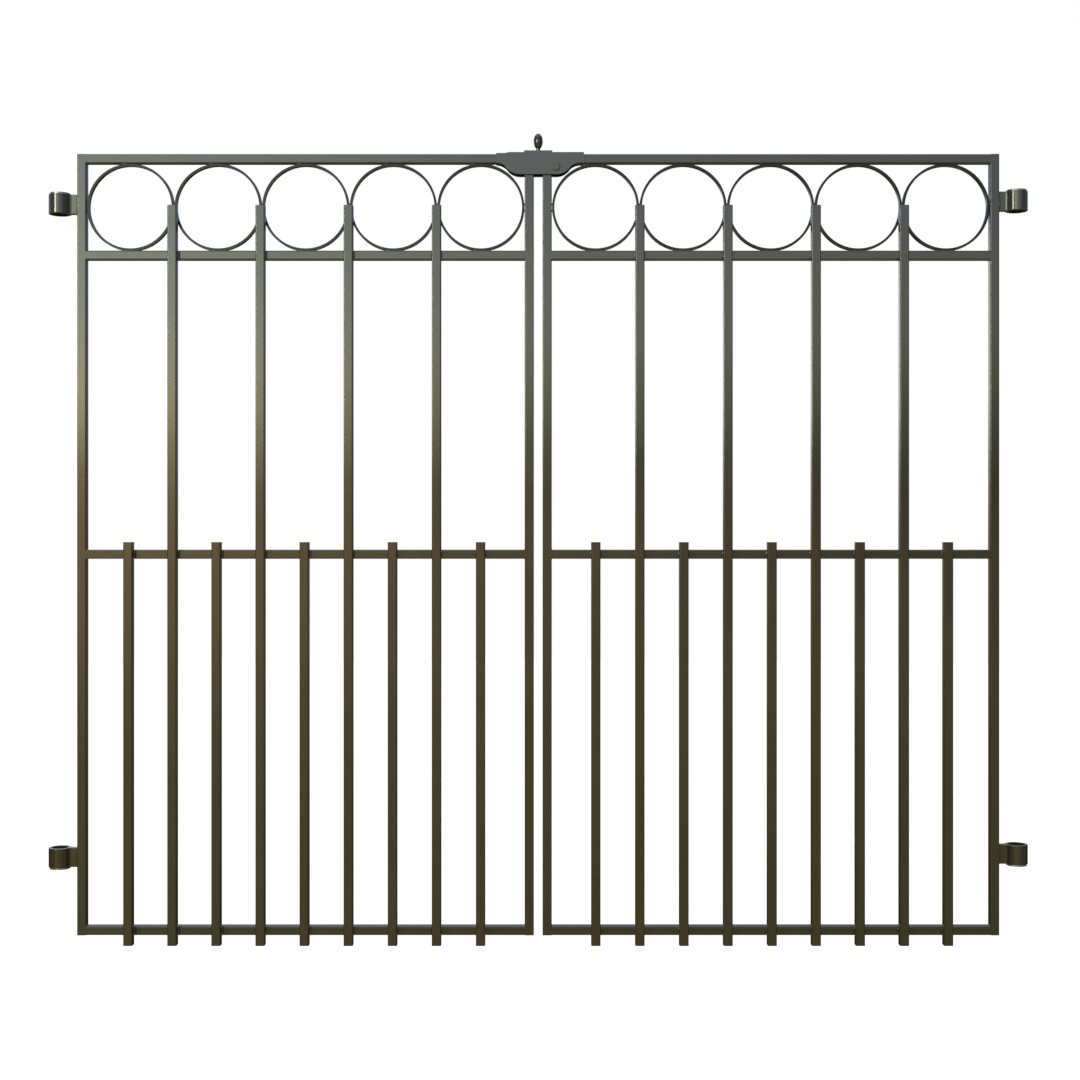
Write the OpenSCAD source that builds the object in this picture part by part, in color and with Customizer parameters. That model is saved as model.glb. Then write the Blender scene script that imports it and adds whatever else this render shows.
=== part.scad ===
// Pair of driveway gate leaves welded from square bar, with a row of rings under the
// top rails, hinge eyes turning on their pins, and a latch that swings over the middle.
//
// X runs along the gate, Y from front to back, Z up. The origin is on the left hinge
// axis, on the underside of the lower left pin's flange. Both leaves swing to +Y.

/* [Leaves] */
// Width of one leaf over its two stiles
leaf_w = 994; // [820:1:1300]
// Height of a leaf from its bottom edge to its top edge
leaf_h = 1700; // [1400:1:2100]
// Gap between the two meeting stiles
leaf_gap = 19; // [14:0.5:30]
// Height of the middle rail's underside above the bottom edge
middle_rail_z = 819; // [600:1:1050]

/* [Square bar] */
// Side of the square section that every stile, rail and bar is cut from
bar_side = 20; // [16:0.5:26]
// Radius of the section's four edges
bar_edge_r = 2.5; // [0.5:0.1:4]
// Length of each bar that hangs below the leaf's bottom edge
bar_tail = 18; // [0:1:40]
// Length of each short bar that stands above the middle rail
dog_bar_head = 16.5; // [0:0.5:40]

/* [Rings] */
// Clear height of the band between ring rail and top rail
ring_band_h = 190; // [150:1:240]
// Radial thickness of a ring
ring_wall = 5; // [3:0.5:8]
// Depth of a ring from front to back
ring_depth = 12; // [6:1:16]
// Clearance between a ring and each rail beside it, bridged by weld
ring_fit = 0.2; // [0.05:0.05:0.4]

/* [Hinge eyes] */
// Outside diameter of an eye
eye_d = 48; // [44:1:60]
// Wall thickness of an eye
eye_wall = 6; // [4:0.5:8]
// Height of an eye and its arm
eye_h = 42; // [30:1:60]
// Bevel on the rims of an eye
eye_bevel = 1; // [0.3:0.1:2]
// Thickness of the arm from front to back
arm_t = 15; // [10:0.5:16]
// Radius of the fillet between eye and arm
arm_fillet_r = 8; // [3:0.5:10]
// Distance from the hinge axis to the stile's outer face
hinge_offset = 39.5; // [38:0.5:60]
// Height of the lower left eye's middle above the bottom edge
lower_eye_z = 169; // [80:1:400]
// Distance from the top edge down to the upper left eye's middle
upper_eye_drop = 109; // [80:1:300]
// How much higher the right leaf's eyes sit
right_eye_lift = 7; // [-20:1:20]

/* [Hinge pins] */
// Distance that the flange's rim lies inside the eye's
flange_inset = 2; // [0:0.5:3]
// Thickness of the flange
flange_t = 3.3; // [2.5:0.1:8]
// Distance from a pin's free end to the eye's far rim
pin_setback = 9; // [2:0.5:15]
// Bevel on a pin's free end
pin_bevel = 1.5; // [0.5:0.5:3]
// Diameter of the tapped hole in the flange, at its thread crests
thread_d = 10.2; // [6.8:0.1:14]
// Depth of the tapped hole
thread_depth = 20; // [12:1:28]

/* [Latch] */
// Thickness of the latch's two cheeks
cheek_t = 4; // [3:0.5:6]
// Clearance between a cheek and the rail beside it
cheek_play = 1.5; // [0.5:0.1:3]
// Height of the cheeks' top edge above the top rails
cheek_rise = 2.7; // [2.5:0.1:8]
// Extra height of the raised middle
pad_rise = 3.7; // [2:0.1:8]
// Half the length of the raised middle
pad_reach = 30.7; // [20:0.1:40]
// Length of the low top edge at the left tip
tip_flat = 19.5; // [4:0.5:20]
// Length of the slope from the low edge up to the full height
tip_slope = 8; // [5:0.5:25]
// Drop of the low edge below the full height
tip_drop = 2; // [0.5:0.1:2.2]
// Distance from the gate's middle to the left tip
left_reach = 91.5; // [75:0.5:110]
// Distance from the gate's middle to the right tip
right_reach = 99.4; // [75:0.1:120]
// Radius of the skirt's lower corners
skirt_corner_r = 34.6; // [25:0.1:45]
// Radius of the hollows above the skirt's corners
skirt_hollow_r = 30; // [20:0.5:40]
// Angle that the latch swings up from closed
latch_throw = 75; // [45:1:80]

/* [Latch pivot] */
// Distance from the right meeting stile to the pivot
pivot_from_stile = 9.5; // [8:0.5:14]
// Distance from the top rail's underside down to the pivot
pivot_below_rail = 9; // [8:0.5:14]
// Metal left in the skirt below the pivot
pivot_edge = 16; // [13:0.5:22]
// Diameter of the pivot bolt
bolt_d = 8; // [6:0.5:10]
// Diameter of the bolt's pan head
bolt_head_d = 18; // [14:0.5:22]
// Height of the bolt's pan head
bolt_head_h = 3; // [2.5:0.1:6]
// Radius of the head's rounded rim
bolt_head_edge = 2.2; // [0.5:0.1:2.4]
// Width of the nut across its flats
nut_flats = 13; // [10:0.5:17]
// Thickness of the nut
nut_h = 6.5; // [5:0.5:10]
// Bolt thread showing past the nut
bolt_tail = 2; // [0.5:0.5:6]
// Width of the lug that holds the bolt
lug_w = 18.5; // [16:0.5:28]
// Height of the lug
lug_h = 18; // [16:0.5:28]
// Bevel on the lug's free corner
lug_bevel = 4; // [1:0.5:6]

/* [Latch knob] */
// Largest diameter of the egg-shaped knob
knob_d = 20; // [14:0.5:30]
// Height of the knob's widest place above the latch
knob_waist = 23.1; // [20:0.1:30]
// Height of the knob above its widest place
knob_upper_h = 17.1; // [12:0.1:25]
// Height of the knob below its widest place, if it had no neck
knob_lower_h = 17.5; // [12:0.1:19]
// Diameter of the neck under the knob
neck_d = 9.5; // [8.5:0.1:13]
// Diameter of the stem screwed down into the latch
stem_d = 8; // [5:0.5:8]

/* [Fits] */
// Radial clearance of pins and bolts in their bores
pin_play = 0.05; // [0.02:0.01:0.1]
// Gap between faces that turn past each other
face_play = 0.3; // [0.1:0.05:0.5]

/* [Hidden] */
$fn = 96;
RING_COUNT = 5;
LONG_BAR_COUNT = RING_COUNT - 1;
DOG_BAR_COUNT = RING_COUNT;
KNOB_STEPS = 24;
HEAD_STEPS = 6;
SIDES = ["left", "right"];
LEAF_PIECES = concat(
    ["hinge_stile", "meeting_stile", "top_rail", "ring_rail", "middle_rail", "bottom_rail"],
    [for (i = [1:LONG_BAR_COUNT]) str("long_bar_", i)],
    [for (i = [1:DOG_BAR_COUNT]) str("dog_bar_", i)],
    ["rings", "upper_hinge_eye", "lower_hinge_eye", "upper_hinge_pin", "lower_hinge_pin"]
);
LATCH_PIECES = ["latch_saddle", "latch_knob", "latch_lug", "latch_pivot_bolt", "latch_nut"];

frame_color = [0.27, 0.26, 0.21];
hinge_color = [0.36, 0.34, 0.24];
pin_color = [0.55, 0.55, 0.52];
latch_color = [0.33, 0.35, 0.34];

// Heights are given above the leaf's bottom edge, which lies this far below the origin
bottom_z = -(lower_eye_z - eye_h / 2 - face_play - flange_t);
gate_mid_x = hinge_offset + leaf_w + leaf_gap / 2;
inner_w = leaf_w - 2 * bar_side;
inner_x = hinge_offset + bar_side;
top_rail_z = leaf_h - bar_side;
ring_rail_z = top_rail_z - ring_band_h - bar_side;
ring_mid_z = top_rail_z - ring_band_h / 2;
ring_pitch = inner_w / RING_COUNT;
ring_r = min(ring_band_h, ring_pitch) / 2 - ring_fit;
bar_y = -bar_side;
dog_bar_top = middle_rail_z + bar_side + dog_bar_head;
eye_r = eye_d / 2;
eye_bore_r = eye_r - eye_wall;

// The latch is drawn around the middle of the gate, with heights above the bottom edge
cheek_y = bar_side / 2 + cheek_play;
latch_half_t = cheek_y + cheek_t;
pivot_x = leaf_gap / 2 + bar_side + pivot_from_stile;
pivot_z = top_rail_z - pivot_below_rail;
skirt_x = pivot_x + 1;
skirt_z = pivot_z - pivot_edge;
skirt_rise = top_rail_z - skirt_z;
skirt_angle = acos(1 - skirt_rise / (skirt_corner_r + skirt_hollow_r));
cheek_top_z = leaf_h + cheek_rise;
pad_top_z = cheek_top_z + pad_rise;
bridge_z = leaf_h + face_play;
// The bridge ends where it still clears the right top rail at full throw
throw_clear = 5;
bridge_back = ((bridge_z - pivot_z) * (1 - cos(latch_throw)) + throw_clear) / sin(latch_throw);
bridge_left_x = tip_flat + tip_slope - left_reach;
bridge_right_x = pivot_x - bridge_back;

// Draws its children on one leaf: as they are on the left, mirrored on the right
module on_leaf(side) {
    if (side == "left")
        children();
    else
        translate([2 * gate_mid_x, 0, 0])
            mirror([1, 0, 0])
                children();
}

// Draws its children about the middle of the gate, standing on the bottom edge's height
module at_latch() {
    translate([gate_mid_x, 0, bottom_z])
        children();
}

// Cylinder along Y between two places, about the latch pivot
module pivot_cylinder(r, y_from, y_to, sides = $fn) {
    translate([pivot_x, y_to, pivot_z])
        rotate([90, 0, 0])
            cylinder(r = r, h = y_to - y_from, $fn = sides);
}

// Square section with rounded edges
module bar_section() {
    flat = bar_side - 2 * bar_edge_r;
    square([flat, bar_side], center = true);
    square([bar_side, flat], center = true);
    for (x = [-1, 1], y = [-1, 1])
        translate([x * flat / 2, y * flat / 2])
            circle(bar_edge_r);
}

// Upright length of bar centred at x, between two heights above the bottom edge
module upright(x, low, high, y = 0) {
    color(frame_color)
        translate([x, y, bottom_z + low])
            linear_extrude(high - low)
                bar_section();
}

// Level length of bar between the stiles, its underside at a height above the bottom edge
module rail(side, low) {
    on_leaf(side)
        color(frame_color)
            translate([inner_x, 0, bottom_z + low + bar_side / 2])
                rotate([90, 0, 90])
                    linear_extrude(inner_w)
                        bar_section();
}

module hinge_stile(side) {
    on_leaf(side)
        upright(inner_x - bar_side / 2, 0, leaf_h);
}

module meeting_stile(side) {
    on_leaf(side)
        upright(inner_x + inner_w + bar_side / 2, 0, leaf_h);
}

module top_rail(side) {
    rail(side, top_rail_z);
}

module ring_rail(side) {
    rail(side, ring_rail_z);
}

module middle_rail(side) {
    rail(side, middle_rail_z);
}

module bottom_rail(side) {
    rail(side, 0);
}

// Full-length bar on the rails' front face, ending at the rings' middle between two rings
module long_bar(side, index) {
    on_leaf(side)
        upright(inner_x + index * ring_pitch, -bar_tail, ring_mid_z, bar_y);
}

// Short bar on the rails' front face, midway between two full-length ones
module dog_bar(side, index) {
    on_leaf(side)
        upright(inner_x + (index - 0.5) * ring_pitch, -bar_tail, dog_bar_top, bar_y);
}

// Row of flat rings in the band under the top rail
module rings(side) {
    on_leaf(side)
        color(frame_color)
            for (i = [1:RING_COUNT])
                translate([inner_x + (i - 0.5) * ring_pitch, 0, bottom_z + ring_mid_z])
                    rotate([90, 0, 0])
                        linear_extrude(ring_depth, center = true)
                            difference() {
                                circle(ring_r);
                                circle(ring_r - ring_wall);
                            }
}

// Outline, from above, of the arm from the eye to the stile, with its two fillets
module arm_outline() {
    fillet_y = arm_t / 2 + arm_fillet_r;
    fillet_x = sqrt(pow(eye_r + arm_fillet_r, 2) - pow(fillet_y, 2));
    translate([0, -arm_t / 2])
        square([hinge_offset, arm_t]);
    intersection() {
        difference() {
            polygon([[0, 0], [fillet_x, fillet_y], [fillet_x, -fillet_y]]);
            for (y = [-1, 1])
                translate([fillet_x, y * fillet_y])
                    circle(arm_fillet_r);
        }
        translate([0, -eye_r])
            square([hinge_offset, eye_d]);
    }
}

// Eye on the hinge axis with its arm, between -eye_h / 2 and eye_h / 2
module hinge_eye() {
    difference() {
        union() {
            rotate_extrude()
                polygon([
                    [0, -eye_h / 2],
                    [eye_r - eye_bevel, -eye_h / 2],
                    [eye_r, -eye_h / 2 + eye_bevel],
                    [eye_r, eye_h / 2 - eye_bevel],
                    [eye_r - eye_bevel, eye_h / 2],
                    [0, eye_h / 2]
                ]);
            linear_extrude(eye_h, center = true)
                arm_outline();
        }
        cylinder(r = eye_bore_r, h = eye_h + 2, center = true);
    }
}

// Pin entering an eye from below, with its flange under the eye and a tapped hole
module hinge_pin() {
    flange_top = -eye_h / 2 - face_play;
    flange_r = eye_r - flange_inset;
    pin_r = eye_bore_r - pin_play;
    pin_end = eye_h / 2 - pin_setback;
    difference() {
        rotate_extrude()
            polygon([
                [0, flange_top - flange_t],
                [flange_r, flange_top - flange_t],
                [flange_r, flange_top],
                [pin_r, flange_top],
                [pin_r, pin_end - pin_bevel],
                [pin_r - pin_bevel, pin_end],
                [0, pin_end]
            ]);
        translate([0, 0, flange_top - flange_t - 1])
            cylinder(d = thread_d, h = thread_depth + 1);
    }
}

// Heights of the middles of a leaf's two eyes, from the origin
function lower_z(side) = bottom_z + lower_eye_z + (side == "right" ? right_eye_lift : 0);
function upper_z(side) = lower_z(side) + leaf_h - upper_eye_drop - lower_eye_z;

module upper_hinge_eye(side) {
    on_leaf(side)
        color(hinge_color)
            translate([0, 0, upper_z(side)])
                hinge_eye();
}

module lower_hinge_eye(side) {
    on_leaf(side)
        color(hinge_color)
            translate([0, 0, lower_z(side)])
                hinge_eye();
}

// The upper pin points down, which stops the leaf being lifted off its hinges
module upper_hinge_pin(side) {
    on_leaf(side)
        color(pin_color)
            translate([0, 0, upper_z(side)])
                rotate([180, 0, 0])
                    hinge_pin();
}

module lower_hinge_pin(side) {
    on_leaf(side)
        color(pin_color)
            translate([0, 0, lower_z(side)])
                hinge_pin();
}

// Side view of the skirt below the top rails: each end is an S-curve of two arcs that
// meet where both have turned by skirt_angle, cut off at the cheek's tips
module skirt_outline() {
    corner_x = skirt_x + skirt_corner_r * sin(skirt_angle);
    hollow_x = corner_x + skirt_hollow_r * sin(skirt_angle);
    corner_z = skirt_z + skirt_corner_r * (1 - cos(skirt_angle));
    intersection() {
        translate([-left_reach, skirt_z])
            square([left_reach + right_reach, skirt_rise]);
        difference() {
            union() {
                polygon([
                    [-hollow_x, top_rail_z],
                    [-skirt_x, skirt_z],
                    [skirt_x, skirt_z],
                    [hollow_x, top_rail_z]
                ]);
                for (side = [-1, 1])
                    intersection() {
                        translate([side * skirt_x, skirt_z + skirt_corner_r])
                            circle(skirt_corner_r);
                        translate([side * (skirt_x + corner_x) / 2, (skirt_z + corner_z) / 2])
                            square([corner_x - skirt_x, corner_z - skirt_z], center = true);
                    }
            }
            for (side = [-1, 1])
                translate([side * hollow_x, top_rail_z - skirt_hollow_r])
                    circle(skirt_hollow_r);
        }
    }
}

// Side view of a cheek: skirt, raised middle, and low edge sloping up from the left tip
module cheek_outline() {
    skirt_outline();
    polygon([
        [-left_reach, top_rail_z],
        [right_reach, top_rail_z],
        [right_reach, cheek_top_z],
        [pad_reach, cheek_top_z],
        [pad_reach, pad_top_z],
        [-pad_reach, pad_top_z],
        [-pad_reach, cheek_top_z],
        [tip_flat + tip_slope - left_reach, cheek_top_z],
        [tip_flat - left_reach, cheek_top_z - tip_drop],
        [-left_reach, cheek_top_z - tip_drop]
    ]);
}

// Channel over both top rails: two cheeks, open at the right end so that it can swing up
module latch_saddle() {
    at_latch()
        color(latch_color)
            difference() {
                union() {
                    for (y = [-cheek_y, latch_half_t])
                        translate([0, y, 0])
                            rotate([90, 0, 0])
                                linear_extrude(cheek_t)
                                    cheek_outline();
                    translate([bridge_left_x, -cheek_y, bridge_z])
                        cube([bridge_right_x - bridge_left_x, 2 * cheek_y, cheek_top_z - bridge_z]);
                    translate([-pad_reach, -cheek_y, bridge_z])
                        cube([pad_reach + bridge_right_x, 2 * cheek_y, pad_top_z - bridge_z]);
                }
                pivot_cylinder(bolt_d / 2 + pin_play, -latch_half_t - 1, latch_half_t + 1);
                translate([0, 0, bridge_z - 1])
                    cylinder(r = stem_d / 2 + pin_play, h = pad_top_z - bridge_z + 2);
            }
}

// Egg-shaped knob on its neck and stem: half an ellipse above the waist and most of one below
module latch_knob() {
    neck_angle = acos(neck_d / knob_d);
    stem_end = bridge_z - pad_top_z + face_play;
    at_latch()
        color(latch_color)
            translate([0, 0, pad_top_z])
                rotate_extrude()
                    polygon(concat(
                        [[0, stem_end], [stem_d / 2, stem_end], [stem_d / 2, 0], [neck_d / 2, 0]],
                        [for (i = [0:KNOB_STEPS])
                            let (a = -neck_angle + i * (90 + neck_angle) / KNOB_STEPS)
                            let (half_h = a < 0 ? knob_lower_h : knob_upper_h)
                                [knob_d / 2 * cos(a), knob_waist + half_h * sin(a)]]
                    ));
}

// Block welded into the corner of the right top rail and meeting stile, bored for the bolt
module latch_lug() {
    lug_left = leaf_gap / 2 + bar_side;
    lug_right = lug_left + lug_w;
    lug_low = top_rail_z - lug_h;
    at_latch()
        color(frame_color)
            difference() {
                translate([0, bar_side / 2, 0])
                    rotate([90, 0, 0])
                        linear_extrude(bar_side)
                            polygon([
                                [lug_left, top_rail_z],
                                [lug_left, lug_low],
                                [lug_right - lug_bevel, lug_low],
                                [lug_right, lug_low + lug_bevel],
                                [lug_right, top_rail_z]
                            ]);
                pivot_cylinder(bolt_d / 2 + pin_play, -bar_side, bar_side);
            }
}

// Bolt through cheeks and lug, with a pan head in front
module latch_pivot_bolt() {
    head_y = latch_half_t + face_play;
    head_r = bolt_head_d / 2;
    at_latch()
        color(latch_color) {
            pivot_cylinder(bolt_d / 2, -head_y - 0.5, head_y + nut_h + bolt_tail);
            translate([pivot_x, -head_y, pivot_z])
                rotate([90, 0, 0])
                    rotate_extrude()
                        polygon(concat(
                            [[0, 0], [head_r, 0]],
                            [for (i = [0:HEAD_STEPS])
                                let (a = i * 90 / HEAD_STEPS)
                                    [head_r - bolt_head_edge * (1 - cos(a)),
                                     bolt_head_h - bolt_head_edge * (1 - sin(a))]],
                            [[0, bolt_head_h]]
                        ));
        }
}

module latch_nut() {
    nut_y = latch_half_t + face_play;
    at_latch()
        color(latch_color)
            difference() {
                pivot_cylinder(nut_flats / sqrt(3), nut_y, nut_y + nut_h, 6);
                pivot_cylinder(bolt_d / 2 + pin_play, nut_y - 1, nut_y + nut_h + 1);
            }
}

for (side = SIDES) {
    hinge_stile(side);
    meeting_stile(side);
    top_rail(side);
    ring_rail(side);
    middle_rail(side);
    bottom_rail(side);
    for (i = [1:LONG_BAR_COUNT])
        long_bar(side, i);
    for (i = [1:DOG_BAR_COUNT])
        dog_bar(side, i);
    rings(side);
    upper_hinge_eye(side);
    lower_hinge_eye(side);
    upper_hinge_pin(side);
    lower_hinge_pin(side);
}
latch_saddle();
latch_knob();
latch_lug();
latch_pivot_bolt();
latch_nut();
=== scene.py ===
"""Driveway gate with two hinged leaves: looks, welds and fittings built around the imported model.

Lengths are in metres unless a property says otherwise. X runs along the gate, Z is up, and the gate is seen from -Y.
"""
import math

import bpy
import numpy as np
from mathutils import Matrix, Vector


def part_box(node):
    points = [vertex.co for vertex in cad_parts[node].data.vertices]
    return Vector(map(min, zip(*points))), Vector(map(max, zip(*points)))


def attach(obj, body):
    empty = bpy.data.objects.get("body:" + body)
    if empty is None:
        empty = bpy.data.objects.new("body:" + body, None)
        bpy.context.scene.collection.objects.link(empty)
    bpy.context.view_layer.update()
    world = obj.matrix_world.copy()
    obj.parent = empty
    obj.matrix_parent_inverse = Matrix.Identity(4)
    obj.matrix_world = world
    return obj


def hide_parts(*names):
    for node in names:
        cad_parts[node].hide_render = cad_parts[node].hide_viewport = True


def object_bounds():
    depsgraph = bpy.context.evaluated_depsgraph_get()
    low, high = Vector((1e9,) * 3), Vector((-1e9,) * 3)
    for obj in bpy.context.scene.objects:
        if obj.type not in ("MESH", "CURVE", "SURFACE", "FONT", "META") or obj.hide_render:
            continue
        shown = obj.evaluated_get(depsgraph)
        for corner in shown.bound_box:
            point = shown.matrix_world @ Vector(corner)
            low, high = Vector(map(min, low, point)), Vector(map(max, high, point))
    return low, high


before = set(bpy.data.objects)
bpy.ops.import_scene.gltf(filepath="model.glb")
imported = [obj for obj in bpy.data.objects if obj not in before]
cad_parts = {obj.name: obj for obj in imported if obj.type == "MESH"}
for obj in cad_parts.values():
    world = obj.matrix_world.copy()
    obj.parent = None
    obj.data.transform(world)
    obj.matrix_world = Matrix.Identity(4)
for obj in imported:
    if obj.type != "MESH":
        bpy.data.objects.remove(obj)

bl_info = {
    "name": "Steel Driveway Gate",
    "version": (1, 0, 0),
    "blender": (4, 5, 0),
    "location": "View3D > Sidebar > Gate",
    "description": "Builds the coat, welds, hinge eyes, latch fittings and studio of a two-leaf steel gate",
    "category": "Object",
}

MM = 0.001
SIDES = ("left", "right")
RAILS = ("top_rail", "ring_rail", "middle_rail", "bottom_rail")
BARS = [f"long_bar_{i}" for i in range(1, 5)] + [f"dog_bar_{i}" for i in range(1, 6)]
CAD_BOX = [list(corner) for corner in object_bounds()]

# Places of the colour sockets on a Mix node, whose other sockets share their names.
MIX_FIRST, MIX_SECOND, MIX_RESULT = 6, 7, 2


# ---------------------------------------------------------------- colours and nodes

def linear(code, scale=1.0):
    """An sRGB hex code as linear red, green, blue and alpha, the three colours times scale."""
    s = np.array([int(code[i:i + 2], 16) for i in (1, 3, 5)]) / 255
    rgb = np.where(s <= 0.04045, s / 12.92, ((s + 0.055) / 1.055) ** 2.4) * scale
    return (*rgb.tolist(), 1.0)


def add(tree, kind, inputs=None, **settings):
    """Adds a node of this kind. Settings are its own properties; each input is a value or the socket that feeds it."""
    node = tree.nodes.new(kind)
    for name, value in settings.items():
        setattr(node, name, value)
    for key, value in (inputs or {}).items():
        if isinstance(value, bpy.types.NodeSocket):
            tree.links.new(value, node.inputs[key])
        else:
            node.inputs[key].default_value = value
    return node


def empty_material(name):
    """A material with an empty node tree, and that tree."""
    material = bpy.data.materials.new(name)
    material.use_nodes = True
    material.node_tree.nodes.clear()
    return material, material.node_tree


# ---------------------------------------------------------------- meshes

def closed_shells(rings, wrap=False):
    """Vertices, quads and triangles of many closed shells.

    rings has the shape (shells, rows, columns, 3). A quad joins each point to the next one round its ring and to the
    same two points of the next ring. With wrap the last ring joins the first; otherwise the middle of each end ring
    becomes a point that a fan of triangles closes. Faces are turned round if the signed volume comes out negative.
    """
    shells, rows, columns, _ = rings.shape
    index = np.arange(rows * columns).reshape(rows, columns)
    after = np.roll(index, -1, axis=1)
    if wrap:
        low, high = index, np.roll(index, -1, axis=0)
        low_after, high_after = after, np.roll(after, -1, axis=0)
    else:
        low, high, low_after, high_after = index[:-1], index[1:], after[:-1], after[1:]
    quads = np.stack([low, low_after, high_after, high], axis=-1).reshape(-1, 4)
    points = rings.reshape(shells, -1, 3)
    fans = np.zeros((0, 3), int)
    if not wrap:
        poles = rings[:, [0, -1]].mean(axis=2)
        points = np.concatenate([points, poles], axis=1)
        first = np.stack([np.full(columns, rows * columns), after[0], index[0]], axis=-1)
        last = np.stack([np.full(columns, rows * columns + 1), index[-1], after[-1]], axis=-1)
        fans = np.concatenate([first, last])
    triangles = np.concatenate([quads[:, [0, 1, 2]], quads[:, [0, 2, 3]], fans])
    a, b, c = (points[0][triangles[:, i]] for i in range(3))
    if np.einsum("ij,ij->i", a, np.cross(b, c)).sum() < 0:
        quads, fans = quads[:, ::-1], fans[:, ::-1]
    step = (np.arange(shells) * points.shape[1])[:, None, None]
    return points.reshape(-1, 3), (quads[None] + step).reshape(-1, 4), (fans[None] + step).reshape(-1, 3)


def piece(name, shells, body, material, replaces=(), crease=30.0):
    """One object of closed shells, shaded smooth with creases sharper than that many degrees kept."""
    points, faces, start = [], [], 0
    for vertices, quads, fans in shells:
        points += vertices.tolist()
        faces += (quads + start).tolist() + (fans + start).tolist()
        start += len(vertices)
    mesh = bpy.data.meshes.new(name)
    mesh.from_pydata(points, [], faces)
    mesh.polygons.foreach_set("use_smooth", np.ones(len(faces), bool))
    mesh.set_sharp_from_angle(angle=math.radians(crease))
    if mesh.validate():
        raise RuntimeError(f"{name} came out with faces that Blender had to mend")
    mesh.materials.append(material)
    made = bpy.data.objects.new(name, mesh)
    bpy.context.scene.collection.objects.link(made)
    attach(made, body)
    if replaces:
        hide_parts(*replaces)
    return made


def turned(profile, centre, axis, columns):
    """A turned shape: each (radius, height) of the profile becomes the ring
    centre + height * axis + radius * (cos t * across + sin t * along), t going once round."""
    radius, height = np.array(profile, float).T
    axis = np.array(axis, float)
    across = np.array([1.0, 0.0, 0.0])
    along = np.cross(axis, across)
    t = np.linspace(0, 2 * np.pi, columns, endpoint=False)
    spoke = np.cos(t)[:, None] * across + np.sin(t)[:, None] * along
    rings = np.array(centre) + height[:, None, None] * axis + radius[:, None, None] * spoke
    return rings[None]


def box(node):
    """A node's lowest and highest corners as arrays."""
    low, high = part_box(node)
    return np.array(low, float), np.array(high, float)


# ---------------------------------------------------------------- sizes and colours

class GateCoatSettings(bpy.types.PropertyGroup):
    leaf_colour: bpy.props.StringProperty(
        name="Leaf coat", description="Colour of the powder coat on the leaves, as an sRGB hex code",
        default="#56554A")
    # The ring coat is about half as bright as the leaf coat: painted shade, standing in for the shade on and inside the
    # thin bent rings.
    ring_painted_shade_colour: bpy.props.StringProperty(
        name="Ring coat", description="Colour of the powder coat on the rings, as an sRGB hex code",
        default="#2B2A25")
    eye_colour: bpy.props.StringProperty(
        name="Eye coat", description="Colour of the powder coat on the hinge eyes, as an sRGB hex code",
        default="#585545")
    latch_colour: bpy.props.StringProperty(
        name="Latch coat", description="Colour of the powder coat on the latch, as an sRGB hex code",
        default="#575850")
    knob_colour: bpy.props.StringProperty(
        name="Knob coat", description="Colour of the powder coat on the knob, as an sRGB hex code", default="#4A4A45")
    zinc_colour: bpy.props.StringProperty(
        name="Zinc", description="Colour of the zinc-plated hinge pins, as an sRGB hex code", default="#B9BAB6")
    coat_roughness: bpy.props.FloatProperty(
        name="Coat roughness", description="Roughness of the powder coat", default=0.13, min=0.05, max=0.6,
        subtype="FACTOR")
    peel_size: bpy.props.FloatProperty(
        name="Orange peel", description="Width of one dimple of the coat's orange peel", default=0.006, min=0.001,
        max=0.02, subtype="DISTANCE", unit="LENGTH")


class GateWeldSettings(bpy.types.PropertyGroup):
    bead_radius: bpy.props.FloatProperty(
        name="Bead radius", description="Distance from a weld's root to its face", default=0.0024, min=0.001,
        max=0.004, subtype="DISTANCE", unit="LENGTH")
    ripple_pitch: bpy.props.FloatProperty(
        name="Ripple pitch", description="Distance between two ripples of a weld", default=0.004, min=0.002, max=0.008,
        subtype="DISTANCE", unit="LENGTH")
    tube_edge: bpy.props.FloatProperty(
        name="Tube edge", description="Radius of the rounded edges of the square tube", default=0.0025, min=0.0005,
        max=0.004, subtype="DISTANCE", unit="LENGTH")
    tack_offset: bpy.props.FloatProperty(
        name="Tack offset", description="Distance of a ring's tack welds from where it touches", default=0.007,
        min=0.003, max=0.015, subtype="DISTANCE", unit="LENGTH")


class GateHingeSettings(bpy.types.PropertyGroup):
    wall: bpy.props.FloatProperty(
        name="Eye wall", description="Thickness of a hinge eye's wall", default=0.006, min=0.004, max=0.008,
        subtype="DISTANCE", unit="LENGTH")
    arm: bpy.props.FloatProperty(
        name="Arm thickness", description="Thickness of the arm that joins an eye to its stile", default=0.015,
        min=0.01, max=0.016, subtype="DISTANCE", unit="LENGTH")
    fillet: bpy.props.FloatProperty(
        name="Arm fillet", description="Radius of the hollow between an eye and its arm", default=0.008, min=0.003,
        max=0.01, subtype="DISTANCE", unit="LENGTH")
    rounding: bpy.props.FloatProperty(
        name="Rounding", description="Radius of an eye's rounded rims", default=0.001, min=0.0003, max=0.002,
        subtype="DISTANCE", unit="LENGTH")


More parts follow.
